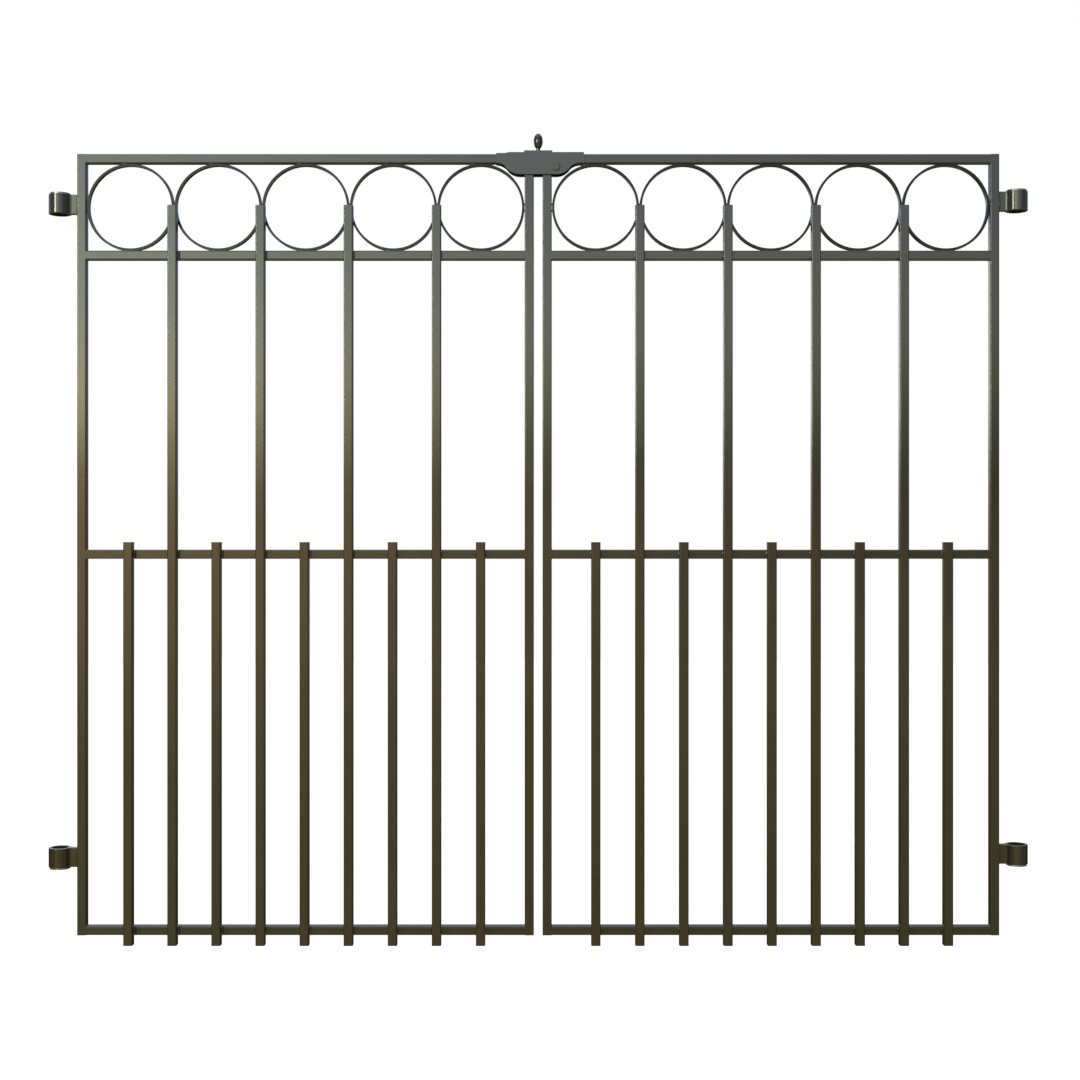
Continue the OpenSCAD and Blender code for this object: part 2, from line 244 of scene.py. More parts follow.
class GateLatchSettings(bpy.types.PropertyGroup):
    knob_crown: bpy.props.FloatProperty(
        name="Knob crown", description="Height of the knob above its widest place", default=0.0171, min=0.012,
        max=0.025, subtype="DISTANCE", unit="LENGTH")
    knob_base: bpy.props.FloatProperty(
        name="Knob base", description="Half height of the oval below the knob's widest place", default=0.0175,
        min=0.012, max=0.019, subtype="DISTANCE", unit="LENGTH")
    knob_neck: bpy.props.FloatProperty(
        name="Knob neck", description="Diameter of the knob where it meets the latch", default=0.0095, min=0.0085,
        max=0.013, subtype="DISTANCE", unit="LENGTH")
    stem: bpy.props.FloatProperty(
        name="Knob stem", description="Diameter of the stem that holds the knob", default=0.008, min=0.005, max=0.008,
        subtype="DISTANCE", unit="LENGTH")
    bolt: bpy.props.FloatProperty(
        name="Bolt size", description="Diameter of the pivot bolt's shank", default=0.008, min=0.006, max=0.01,
        subtype="DISTANCE", unit="LENGTH")
    bolt_edge: bpy.props.FloatProperty(
        name="Bolt head edge", description="Radius of the rounded rim of the pivot bolt's head", default=0.0022,
        min=0.0005, max=0.0024, subtype="DISTANCE", unit="LENGTH")
    thread_pitch: bpy.props.FloatProperty(
        name="Thread pitch", description="Distance between two threads of the pivot bolt", default=0.00125, min=0.001,
        max=0.002, subtype="DISTANCE", unit="LENGTH")


class GateStudioSettings(bpy.types.PropertyGroup):
    lens: bpy.props.FloatProperty(
        name="Lens", description="Focal length of the camera, in millimetres", default=52.87, min=20.0, max=200.0,
        unit="CAMERA")
    camera_distance: bpy.props.FloatProperty(
        name="Camera distance", description="Distance of the camera from the gate", default=3.46, min=2.0, max=10.0,
        subtype="DISTANCE", unit="LENGTH")
    camera_height: bpy.props.FloatProperty(
        name="Camera height", description="Height of the camera above the lower left hinge pin", default=0.7157,
        min=0.2, max=2.0, subtype="DISTANCE", unit="LENGTH")
    softbox_power: bpy.props.FloatProperty(
        name="Softbox power", description="Power of the strip softbox", default=60.0, min=0.0, max=500.0,
        unit="POWER")
    floor_drop: bpy.props.FloatProperty(
        name="Floor drop", description="Distance from the gate's lowest bars down to the floor", default=0.058,
        min=0.01, max=0.2, subtype="DISTANCE", unit="LENGTH")


# ---------------------------------------------------------------- materials

PEEL_DEPTH = 0.02 * MM
WELD_PEEL_DEPTH = 0.1 * MM
FLAKE_SIZE = 3 * MM
CLOUD_SIZE = 130 * MM
TURNING_PITCH = 0.8 * MM
PLATING_CLOUD_SIZE = 12 * MM


def powder_coat(name, code, roughness, peel_size, peel_depth=PEEL_DEPTH, gloss=0.8):
    """Gunmetal metal-flake polyester powder coat, sprayed on steel and baked.

    The flake makes it mostly metallic, so it takes the tones of what stands round it; the baked resin on top adds a
    thin clear gloss, weighted by gloss; it levels into shallow orange peel and never bakes perfectly even, which
    breaks up reflections. Real peel is about 2 mm wide and flake 0.1 mm; both are drawn coarser so that they show.
    """
    material, tree = empty_material(name)
    place = add(tree, "ShaderNodeTexCoord").outputs["Object"]
    flake = add(tree, "ShaderNodeTexNoise", {"Vector": place, "Scale": 1 / FLAKE_SIZE, "Detail": 3.0, "Roughness": 0.7})
    cloud = add(tree, "ShaderNodeTexNoise", {"Vector": place, "Scale": 1 / CLOUD_SIZE, "Detail": 2.0})
    peel = add(tree, "ShaderNodeTexNoise", {"Vector": place, "Scale": 1 / peel_size, "Detail": 1.5})
    tone = add(tree, "ShaderNodeMath", {0: flake.outputs["Fac"], 1: cloud.outputs["Fac"]}, operation="ADD")
    share = add(tree, "ShaderNodeMapRange", {"Value": tone.outputs[0], "From Min": 0.6, "From Max": 1.4})
    colour = add(tree, "ShaderNodeMix", {"Factor": share.outputs[0], MIX_FIRST: linear(code, 0.9),
                                         MIX_SECOND: linear(code, 1.1)}, data_type="RGBA")
    shine = add(tree, "ShaderNodeMapRange", {"Value": cloud.outputs["Fac"], "From Min": 0.3, "From Max": 0.7,
                                             "To Min": roughness - 0.02, "To Max": roughness + 0.03})
    bump = add(tree, "ShaderNodeBump", {"Height": peel.outputs["Fac"], "Strength": 0.35, "Distance": peel_depth})
    surface = add(tree, "ShaderNodeBsdfPrincipled", {
        "Base Color": colour.outputs[MIX_RESULT], "Metallic": 0.7, "Roughness": shine.outputs[0],
        "Normal": bump.outputs[0], "Coat Weight": gloss, "Coat Roughness": 0.1})
    add(tree, "ShaderNodeOutputMaterial", {"Surface": surface.outputs[0]})
    return material


def turned_zinc(name, code, right_axis_x):
    """Zinc-plated mild steel, turned on a lathe and plated bright.

    The tool leaves fine rings round each pin's axis, which spread highlights across them, and the plating dulls in
    clouds. The left pins turn on X = 0 and the right ones on right_axis_x. Rings are cut about 0.2 mm apart and drawn
    0.8 mm apart, so that they show close up.
    """
    material, tree = empty_material(name)
    place = add(tree, "ShaderNodeTexCoord").outputs["Object"]
    split = add(tree, "ShaderNodeSeparateXYZ", {0: place})
    right = add(tree, "ShaderNodeMath", {0: split.outputs[0], 1: right_axis_x / 2}, operation="GREATER_THAN")
    shift = add(tree, "ShaderNodeMath", {0: right.outputs[0], 1: right_axis_x}, operation="MULTIPLY")
    near = add(tree, "ShaderNodeMath", {0: split.outputs[0], 1: shift.outputs[0]}, operation="SUBTRACT")
    flat = add(tree, "ShaderNodeCombineXYZ", {0: near.outputs[0], 1: split.outputs[1]})
    radius = add(tree, "ShaderNodeVectorMath", {0: flat.outputs[0]}, operation="LENGTH")
    along = add(tree, "ShaderNodeMath", {0: radius.outputs["Value"], 1: split.outputs[2]}, operation="ADD")
    phase = add(tree, "ShaderNodeMath", {0: along.outputs[0], 1: 2 * math.pi / TURNING_PITCH}, operation="MULTIPLY")
    rings = add(tree, "ShaderNodeMath", {0: phase.outputs[0]}, operation="SINE")
    cloud = add(tree, "ShaderNodeTexNoise", {"Vector": place, "Scale": 1 / PLATING_CLOUD_SIZE, "Detail": 4.0})
    colour = add(tree, "ShaderNodeMix", {"Factor": cloud.outputs["Fac"], MIX_FIRST: linear(code, 0.75),
                                         MIX_SECOND: linear(code, 1.1)}, data_type="RGBA")
    shine = add(tree, "ShaderNodeMapRange", {"Value": cloud.outputs["Fac"], "From Min": 0.3, "From Max": 0.7,
                                             "To Min": 0.28, "To Max": 0.42})
    bump = add(tree, "ShaderNodeBump", {"Height": rings.outputs[0], "Strength": 0.3, "Distance": 0.05 * MM})
    surface = add(tree, "ShaderNodeBsdfPrincipled", {
        "Base Color": colour.outputs[MIX_RESULT], "Metallic": 1.0, "Roughness": shine.outputs[0],
        "Normal": bump.outputs[0]})
    add(tree, "ShaderNodeOutputMaterial", {"Surface": surface.outputs[0]})
    return material


def paint(node, material):
    """Gives a CAD node's object this material on every slot."""
    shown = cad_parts[node]
    if not len(shown.material_slots):
        shown.data.materials.append(material)
    for slot in shown.material_slots:
        slot.material = material


class GATE_OT_coat(bpy.types.Operator):
    """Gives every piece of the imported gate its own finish"""
    bl_idname = "gate.coat"
    bl_label = "Coat the gate"

    def execute(self, context):
        chosen = context.scene.gate_coat
        rough, peel = chosen.coat_roughness, chosen.peel_size
        leaf = powder_coat("gunmetal_powder_coat_tube", chosen.leaf_colour, rough, peel)
        eye = powder_coat("gunmetal_powder_coat_eye", chosen.eye_colour, rough + 0.02, peel)
        latch = powder_coat("gunmetal_powder_coat_latch", chosen.latch_colour, rough + 0.02, peel)
        # The rings get a darker, less glossy copy of the leaf coat; the darkening is painted shade.
        ring = powder_coat("gunmetal_powder_coat_ring_painted_shade", chosen.ring_painted_shade_colour, rough + 0.04, peel, gloss=0.35)
        powder_coat("gunmetal_powder_coat_weld", chosen.leaf_colour, rough + 0.06, peel, WELD_PEEL_DEPTH)
        powder_coat("gloss_powder_coat_knob", chosen.knob_colour, rough - 0.01, peel)
        pin_low, pin_high = box("right_lower_hinge_pin")
        zinc = turned_zinc("turned_zinc_plated_steel", chosen.zinc_colour, float(pin_low[0] + pin_high[0]) / 2)
        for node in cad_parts:
            if node.endswith("_hinge_pin"):
                paint(node, zinc)
            elif node.endswith("_rings"):
                paint(node, ring)
            elif node.endswith("_hinge_eye"):
                paint(node, eye)
            elif node.startswith("latch_"):
                paint(node, latch)
            else:
                paint(node, leaf)
        return {"FINISHED"}


# ---------------------------------------------------------------- welds

RINGS_IN_A_LEAF = 5
BEAD_INSET = 2 * MM  # how far a bead stops short of an edge at both ends


def beads(starts, ends, radius, pitch):
    """Weld beads, all at once. Each follows the straight line from its start to its end: at share s of the way the
    section is a circle of radius r(s) = radius * sqrt(1 - |2s - 1|^4) * (0.9 + 0.1 * cos(2 pi * s * length / pitch)),
    so it tapers to both ends and swells at each ripple. Half of it lies inside the metal."""
    starts, ends = np.array(starts, float), np.array(ends, float)
    run = ends - starts
    length = np.linalg.norm(run, axis=1, keepdims=True)
    ahead = run / length
    helper = np.where(np.abs(ahead[:, [2]]) > 0.7, [[1.0, 0.0, 0.0]], [[0.0, 0.0, 1.0]])
    across = np.cross(ahead, helper)
    across /= np.linalg.norm(across, axis=1, keepdims=True)
    along = np.cross(ahead, across)
    s = np.linspace(0.02, 0.98, 11)
    t = np.linspace(0, 2 * np.pi, 6, endpoint=False)
    taper = np.sqrt(1 - np.abs(2 * s - 1) ** 4)
    ripple = 0.9 + 0.1 * np.cos(2 * np.pi * s * length / pitch)
    size = (radius * taper * ripple)[:, :, None, None]
    spoke = np.cos(t)[:, None] * across[:, None, None, :] + np.sin(t)[:, None] * along[:, None, None, :]
    middle = starts[:, None, :] + s[:, None] * run[:, None, :]
    return middle[:, :, None, :] + size * spoke


def flush_fills(corners, inward, faces, lows, highs, edge, columns=6):
    """Weld metal ground flush, all fills at once. A fill closes the groove that a tube's rounded edge leaves beside
    the tube that butts against it: its section has one corner on the joint at the face, one edge further in along
    the face, and between that one and the depth of the rounding it follows the quarter circle of radius edge. The
    section is carried from each low height to its high one. Inward is the way into the rounded tube, 1 or -1 along
    X, and faces the way out of the tubes' face, 1 or -1 along Y."""
    corners, inward, faces = (np.array(v, float) for v in (corners, inward, faces))
    turn = np.linspace(0, np.pi / 2, columns)
    in_by = np.concatenate([[0.0], edge * (1 - np.sin(turn))])
    down_by = np.concatenate([[0.0], edge * (1 - np.cos(turn))])
    height = np.stack([lows, highs], axis=-1)[:, :, None] + 0 * in_by
    x = corners[:, None, None, 0] + (inward[:, None] * in_by)[:, None, :] + 0 * height
    y = corners[:, None, None, 1] - (faces[:, None] * down_by)[:, None, :] + 0 * height
    return np.stack([x, y, height], axis=-1)


class GATE_OT_flush_welds(bpy.types.Operator):
    """Fills the frame's joints flush, as welds that were ground level"""
    bl_idname = "gate.flush_welds"
    bl_label = "Grind the frame's joints"

    def execute(self, context):
        edge = context.scene.gate_welds.tube_edge
        inset = 0.4 * edge
        for side in SIDES:
            corners, inward, faces, lows, highs = [], [], [], [], []
            for rail_name in RAILS:
                rail = box(f"{side}_{rail_name}")
                for x, way in ((rail[0][0], -1), (rail[1][0], 1)):
                    for y, out in ((rail[0][1], -1), (rail[1][1], 1)):
                        corners.append((x, y))
                        inward.append(way)
                        faces.append(out)
                        lows.append(rail[0][2] + inset)
                        highs.append(rail[1][2] - inset)
            fills = flush_fills(corners, inward, faces, lows, highs, edge)
            # Fills that are each other's mirror image turn their faces the other way round, so they go apart.
            mirrored = np.array(inward) * np.array(faces) > 0
            shells = [closed_shells(fills[mirrored]), closed_shells(fills[~mirrored])]
            piece(f"{side}_leaf_flush_welds", shells, f"{side}_leaf",
                  bpy.data.materials["gunmetal_powder_coat_tube"])
        return {"FINISHED"}


class GATE_OT_welds(bpy.types.Operator):
    """Lays the weld beads that hold each leaf together"""
    bl_idname = "gate.welds"
    bl_label = "Weld the leaves"

    def execute(self, context):
        chosen = context.scene.gate_welds
        inset = BEAD_INSET
        for side in SIDES:
            lines, corner_lines = [], []
            rails = {name: box(f"{side}_{name}") for name in RAILS}
            for name in BARS:
                bar = box(f"{side}_{name}")
                for rail in rails.values():
                    if bar[1][2] < rail[1][2] or bar[0][2] > rail[0][2]:
                        continue
                    y = rail[0][1]
                    for x in (bar[0][0], bar[1][0]):
                        lines.append(((x, y, rail[0][2] + inset), (x, y, rail[1][2] - inset)))
                    for z in (rail[0][2], rail[1][2]):
                        lines.append(((bar[0][0] + inset, y, z), (bar[1][0] - inset, y, z)))
            for name, rail in rails.items():
                for x in (rail[0][0], rail[1][0]):
                    for z in (rail[0][2], rail[1][2]):
                        if name == "top_rail" and z == rail[1][2]:
                            continue
                        if name == "bottom_rail" and z == rail[0][2]:
                            continue
                        corner_lines.append(((x, rail[0][1] + inset, z), (x, rail[1][1] - inset, z)))
            rings = box(f"{side}_rings")
            ring_r = (rings[1][2] - rings[0][2]) / 2
            middle_z = (rings[1][2] + rings[0][2]) / 2
            centres = np.linspace(rings[0][0] + ring_r, rings[1][0] - ring_r, RINGS_IN_A_LEAF)
            y_low, y_high = rings[0][1] + inset, rings[1][1] - inset
            for x in centres:
                for z in (rings[0][2], rings[1][2]):
                    for step in (-chosen.tack_offset, chosen.tack_offset):
                        lines.append(((x + step, y_low, z), (x + step, y_high, z)))
            for x in [rings[0][0], *(centres[:-1] + centres[1:]) / 2, rings[1][0]]:
                for step in (-chosen.tack_offset, chosen.tack_offset):
                    lines.append(((x, y_low, middle_z + step), (x, y_high, middle_z + step)))
            stile = box(f"{side}_hinge_stile")
            face_x = stile[0][0] if side == "left" else stile[1][0]
            half_arm = context.scene.gate_hinges.arm / 2
            for place in ("upper", "lower"):
                eye = box(f"{side}_{place}_hinge_eye")
                for y in (-half_arm, half_arm):
                    lines.append(((face_x, y, eye[0][2] + inset), (face_x, y, eye[1][2] - inset)))
                for z in (eye[0][2], eye[1][2]):
                    lines.append(((face_x, -half_arm + inset, z), (face_x, half_arm - inset, z)))
            if side == "right":
                lug = box("latch_lug")
                for x, _, z in lug:
                    lines.append(((x, lug[0][1] + inset, z), (x, lug[1][1] - inset, z)))
            # The frame's inner corners are dressed down, so their beads are half the size.
            shells = [closed_shells(beads(*zip(*run), radius, chosen.ripple_pitch))
                      for run, radius in ((lines, chosen.bead_radius), (corner_lines, chosen.bead_radius / 2))]
            piece(f"{side}_leaf_welds", shells, f"{side}_leaf",
                  bpy.data.materials["gunmetal_powder_coat_weld"], crease=80)
        return {"FINISHED"}


# ---------------------------------------------------------------- hinge eyes

EYE_COLUMNS = 160


def eye_outline(reach, eye_r, arm_half, fillet, columns):
    """Outline of an eye with its arm, as columns points in the plane across its axis, and the way out at each point.

    The arm runs along +X to reach. A hollow of radius fillet joins it to the round eye on each side: its centre lies
    at height arm_half + fillet and at distance eye_r + fillet from the axis, so it meets both without a kink. The
    line runs from the arm's end along its upper side, through the hollow, round the eye and back along the lower
    side. Each stretch is sampled in even steps, and the arm's two end corners are kept."""
    hollow_y = arm_half + fillet
    hollow_x = math.sqrt((eye_r + fillet) ** 2 - hollow_y ** 2)
    touch = math.atan2(hollow_y, hollow_x)
    side_x = np.linspace(reach, hollow_x, 8)[:-1]
    side = np.stack([side_x, 0 * side_x + arm_half, 0 * side_x, 0 * side_x + 1], axis=-1)
    a = np.linspace(-np.pi / 2, touch - np.pi, 16)[:-1]
    hollow = np.stack([hollow_x + fillet * np.cos(a), hollow_y + fillet * np.sin(a), -np.cos(a), -np.sin(a)], axis=-1)
    b = np.linspace(touch, np.pi, columns // 2 - len(side) - len(hollow) + 1)
    barrel = np.stack([eye_r * np.cos(b), eye_r * np.sin(b), np.cos(b), np.sin(b)], axis=-1)
    upper = np.concatenate([side, hollow, barrel[:-1]])
    flip = np.array([1.0, -1.0, 1.0, -1.0])
    return np.concatenate([upper, barrel[-1:], (upper * flip)[::-1]])


class GATE_OT_eyes(bpy.types.Operator):
    """Forms the four hinge eyes with their arms"""
    bl_idname = "gate.eyes"
    bl_label = "Form the hinge eyes"

    def execute(self, context):
        chosen = context.scene.gate_hinges
        for side in SIDES:
            way = 1 if side == "left" else -1
            for place in ("upper", "lower"):
                node = f"{side}_{place}_hinge_eye"
                low, high = box(node)
                eye_r = (high[1] - low[1]) / 2
                reach = high[0] - low[0] - eye_r
                axis_x = low[0] + eye_r if way > 0 else high[0] - eye_r
                outline = eye_outline(reach, eye_r, chosen.arm / 2, chosen.fillet, EYE_COLUMNS)
                spot, out = outline[:, :2], outline[:, 2:]
                turn = np.linspace(0, np.pi / 2, 5)
                rise = chosen.rounding * (1 - np.cos(turn))
                draw_in = chosen.rounding * (1 - np.sin(turn))
                angle = np.arctan2(spot[:, 1], spot[:, 0])
                bore = (eye_r - chosen.wall) * np.stack([np.cos(angle), np.sin(angle)], axis=-1)
                rims = spot[None] - draw_in[:, None, None] * out[None]
                # A ring close beside each end of the rounding keeps the flat faces shaded flat.
                beside = 1.3 * chosen.rounding
                flat_ring = spot - beside * out
                rings = [bore, flat_ring, *rims, rims[-1], rims[-1], *rims[::-1], flat_ring, bore]
                heights = [low[2], low[2], *(low[2] + rise), low[2] + beside, high[2] - beside,
                           *(high[2] - rise[::-1]), high[2], high[2]]
                flat = np.stack(rings)
                up = np.array(heights)[:, None] + 0 * flat[:, :, 0]
                shell = np.stack([axis_x + way * flat[:, :, 0], flat[:, :, 1], up], axis=-1)
                piece(f"{node}_formed", [closed_shells(shell[None], wrap=True)], f"{side}_leaf",
                      bpy.data.materials["gunmetal_powder_coat_eye"], [node])
        return {"FINISHED"}


# ---------------------------------------------------------------- latch fittings

NUT_FACE_SHARE = 0.955  # a nut's round face, as a share of the width across its flats
THREAD_DEPTH_SHARE = 0.61  # an external metric thread's depth, as a share of its pitch


def knob_profile(reach, waist, crown, base, neck, stem, foot):
    """Profile of an egg-shaped knob on its stem, from the stem's foot up to the crown, heights counted from the neck.
    Above the waist the height is waist + crown * sin a and below it waist + base * sin a, with the radius
    reach * cos a throughout, a running from where the radius equals half the neck to just short of a quarter turn,
    where the pole closes it. The foot lies at the height foot, below the neck."""
    a = np.linspace(-math.acos(neck / 2 / reach), math.pi / 2 * 0.985, 40)
    radius = reach * np.cos(a)
    height = waist + np.where(a < 0, base, crown) * np.sin(a)
    shank = [(0.4 * stem / 2, foot), (stem / 2, foot), (stem / 2, 0.0)]
    return shank + list(zip(radius.tolist(), height.tolist()))


class GATE_OT_knob(bpy.types.Operator):
    """Turns the knob on the latch"""
    bl_idname = "gate.knob"
    bl_label = "Turn the knob"

    def execute(self, context):
        chosen = context.scene.gate_latch
        low, high = box("latch_knob")
        centre = (low + high) / 2
        seat = box("latch_saddle")[1][2]
        profile = knob_profile((high[0] - low[0]) / 2, high[2] - chosen.knob_crown - seat, chosen.knob_crown,
                               chosen.knob_base, chosen.knob_neck, chosen.stem, low[2] - seat)
        rings = turned(profile, (centre[0], centre[1], seat), (0, 0, 1), 64)
        piece("latch_knob_smooth", [closed_shells(rings)], "latch",
              bpy.data.materials["gloss_powder_coat_knob"], ["latch_knob"])
        return {"FINISHED"}


def nut_rings(centre, front, back, flats, bore, columns=72):
    """A hexagon nut along Y as a closed band of six rings. At angle t the side lies at
    r(t) = flats / 2 / cos(t folded to within 30 degrees of the middle of a flat); both faces are cut back at
    30 degrees outside a circle a little smaller than the flats; the first and last rings line the bore."""
    t = np.linspace(0, 2 * np.pi, columns, endpoint=False)
    side = flats / 2 / np.cos((t + np.pi / 6) % (np.pi / 3) - np.pi / 6)
    face = np.full(columns, NUT_FACE_SHARE * flats / 2)
    cut = (side - face) * math.tan(math.radians(30))
    hole = np.full(columns, bore / 2)
    radius = np.stack([hole, face, side, side, face, hole])
    depth = np.stack([0 * t + front, 0 * t + front, front + cut, back - cut, 0 * t + back, 0 * t + back])
    return np.stack([centre[0] + radius * np.cos(t), depth, centre[2] + radius * np.sin(t)], axis=-1)[None]


def bolt_rings(centre, front, seat, back, head_r, edge, shank_r, pitch, columns=64):
    """A pan-headed bolt along Y. The head is flat in front and a quarter circle of radius edge rounds its rim; a flat
    seat leads in to the shank; from there to the end the radius is shank_r - depth * |2 * fold(y / pitch - t / 2 pi)
    - 1|, fold being the fractional part, which winds one V-shaped thread round it; the end is chamfered."""
    t = np.linspace(0, 2 * np.pi, columns, endpoint=False)
    turn = np.linspace(0, np.pi / 2, 8)
    rim = np.stack([head_r - edge * (1 - np.sin(turn)), front + edge * (1 - np.cos(turn))], axis=-1)
    head = np.concatenate([[[0.4 * head_r, front], [head_r - 1.1 * edge, front]], rim, [[head_r, seat]]])
    shank_y = np.linspace(seat, back, int((back - seat) / pitch * 8))
    depth = THREAD_DEPTH_SHARE * pitch
    fold = (shank_y[:, None] / pitch - t[None] / (2 * np.pi)) % 1
    end = np.clip((back - shank_y)[:, None] / pitch, 0, 1)
    thread = shank_r - depth * np.maximum(np.abs(2 * fold - 1), 1 - end)
    radius = np.concatenate([head[:, :1] + 0 * t, thread])
    y = np.concatenate([head[:, 1], shank_y])[:, None] + 0 * t
    return np.stack([centre[0] + radius * np.cos(t), y, centre[2] + radius * np.sin(t)], axis=-1)[None]


class GATE_OT_pivot(bpy.types.Operator):
    """Makes the bolt that the latch turns on, and its nut"""
    bl_idname = "gate.pivot"
    bl_label = "Make the pivot bolt"

    def execute(self, context):
        chosen = context.scene.gate_latch
        coat = bpy.data.materials["gunmetal_powder_coat_latch"]
        low, high = box("latch_pivot_bolt")
        nut_low, nut_high = box("latch_nut")
        saddle_low, saddle_high = box("latch_saddle")
        centre = (low + high) / 2
        seat = saddle_low[1] - (nut_low[1] - saddle_high[1])
        shank = bolt_rings(centre, low[1], seat, high[1], (high[0] - low[0]) / 2, chosen.bolt_edge, chosen.bolt / 2,
                           chosen.thread_pitch)
        piece("latch_pivot_bolt_threaded", [closed_shells(shank)], "right_leaf", coat, ["latch_pivot_bolt"])
        flats = min(nut_high[0] - nut_low[0], nut_high[2] - nut_low[2])
        nut = nut_rings(centre, nut_low[1], nut_high[1], flats, chosen.bolt)
        piece("latch_nut_chamfered", [closed_shells(nut, wrap=True)], "right_leaf", coat, ["latch_nut"])
        return {"FINISHED"}


# ---------------------------------------------------------------- studio

FLOOR_RADIUS = 9.0
SOFTBOX_SIZE = (0.4, 2.4)
SOFTBOX_COLOUR = (1.0, 0.98, 0.88)
SOFTBOX_AWAY = 5.5  # from the gate's middle, level
SOFTBOX_AZIMUTH = math.radians(43)  # from straight in front, to the left
SOFTBOX_LIFT = 1.75  # above the camera
SOFTBOX_TILT = math.radians(75)  # from facing straight down
CAMERA_ASIDE = 0.0039  # to the right of the gate's middle
SENSOR_WIDTH = 36.0  # in millimetres

# Light from round the gate. Each row is a height, as the sine of its angle above the horizon, and the linear red,
# green and blue seen there: pale sky over olive ground, brightest to the left, where a warm glow lies on the horizon,
# and dusk blue high up and at both sides. Straight overhead hangs a pale ceiling.
SKY = {
    "front_left": [
        (-0.55, 0.55, 0.52, 0.40), (-0.36, 0.50, 0.47, 0.34), (-0.24, 0.37, 0.34, 0.16), (-0.10, 0.46, 0.39, 0.19),
        (-0.04, 1.05, 0.72, 0.44), (0.02, 0.90, 0.60, 0.29), (0.045, 1.30, 0.98, 0.60), (0.088, 3.60, 3.20, 2.10),
        (0.13, 2.25, 2.50, 2.25), (0.18, 1.75, 2.05, 1.92), (0.24, 1.50, 1.72, 1.80), (0.50, 0.45, 0.52, 0.75)],
    "front": [
        (-0.55, 0.50, 0.47, 0.36), (-0.36, 0.45, 0.41, 0.30), (-0.24, 0.31, 0.25, 0.10), (-0.10, 0.45, 0.32, 0.13),
        (-0.04, 0.45, 0.39, 0.24), (0.02, 0.45, 0.34, 0.20), (0.045, 0.26, 0.25, 0.14), (0.088, 0.82, 0.90, 0.56),
        (0.13, 1.24, 1.28, 1.34), (0.18, 0.93, 1.02, 1.08), (0.24, 0.78, 0.88, 1.05), (0.50, 0.25, 0.30, 0.46)],
    "front_right": [
        (-0.55, 0.45, 0.42, 0.33), (-0.36, 0.38, 0.35, 0.26), (-0.24, 0.24, 0.23, 0.09), (-0.10, 0.38, 0.31, 0.12),
        (-0.04, 0.36, 0.28, 0.16), (0.02, 0.20, 0.17, 0.13), (0.045, 0.17, 0.15, 0.08), (0.088, 0.36, 0.42, 0.18),
        (0.13, 0.74, 0.80, 0.80), (0.18, 0.60, 0.66, 0.75), (0.24, 0.54, 0.61, 0.70), (0.50, 0.15, 0.19, 0.30)],
    "side": [
        (-0.55, 0.40, 0.38, 0.30), (-0.36, 0.30, 0.28, 0.20), (-0.24, 0.16, 0.15, 0.08), (0.0, 0.18, 0.16, 0.10),
        (0.10, 0.20, 0.23, 0.33), (0.50, 0.12, 0.15, 0.25)],
    "back_left": [
        (-0.55, 0.40, 0.38, 0.30), (-0.36, 0.20, 0.19, 0.13), (-0.24, 0.03, 0.025, 0.01), (-0.10, 0.12, 0.10, 0.05),
        (0.0, 0.22, 0.20, 0.15), (0.055, 0.55, 0.55, 0.50), (0.10, 1.1, 1.1, 1.1), (0.15, 1.0, 1.0, 1.0),
        (0.19, 0.36, 0.41, 0.54), (0.24, 0.17, 0.21, 0.31), (0.50, 0.14, 0.18, 0.28)],
    "back_right": [
        (-0.55, 0.40, 0.38, 0.30), (-0.36, 0.20, 0.19, 0.13), (-0.24, 0.03, 0.025, 0.01), (-0.10, 0.12, 0.11, 0.06),
        (0.0, 0.12, 0.11, 0.07), (0.055, 0.16, 0.16, 0.14), (0.10, 0.18, 0.19, 0.20), (0.24, 0.16, 0.21, 0.32),
        (0.50, 0.13, 0.17, 0.28)],
    "overhead": [(-0.55, 0.90, 0.93, 0.95), (0.50, 0.90, 0.93, 0.95)],
}
SKY_TOP = 3.6  # the brightest value above
HEIGHTS = (-0.55, 0.55)  # the heights that the ramps run between


def sky_band(tree, height, stops):
    """The light of one side of the sky: a ramp over height, whose colours are shares of SKY_TOP."""
    low, high = HEIGHTS
    share = add(tree, "ShaderNodeMapRange", {"Value": height, "From Min": low, "From Max": high})
    ramp = add(tree, "ShaderNodeValToRGB", {"Fac": share.outputs[0]})
    elements = ramp.color_ramp.elements
    while len(elements) < len(stops):
        elements.new(0.5)
    for element, (at, *rgb) in zip(elements, stops):
        element.position = (at - low) / (high - low)
        element.color = (*(value / SKY_TOP for value in rgb), 1)
    return ramp.outputs["Color"]


def blend(tree, first, second, value, start, end):
    """First where value is at most start, second where it is at least end, and an even change between them."""
    share = add(tree, "ShaderNodeMapRange", {"Value": value, "From Min": start, "From Max": end})
    mix = add(tree, "ShaderNodeMix", {"Factor": share.outputs[0], MIX_FIRST: first, MIX_SECOND: second},
              data_type="RGBA")
    return mix.outputs[MIX_RESULT]


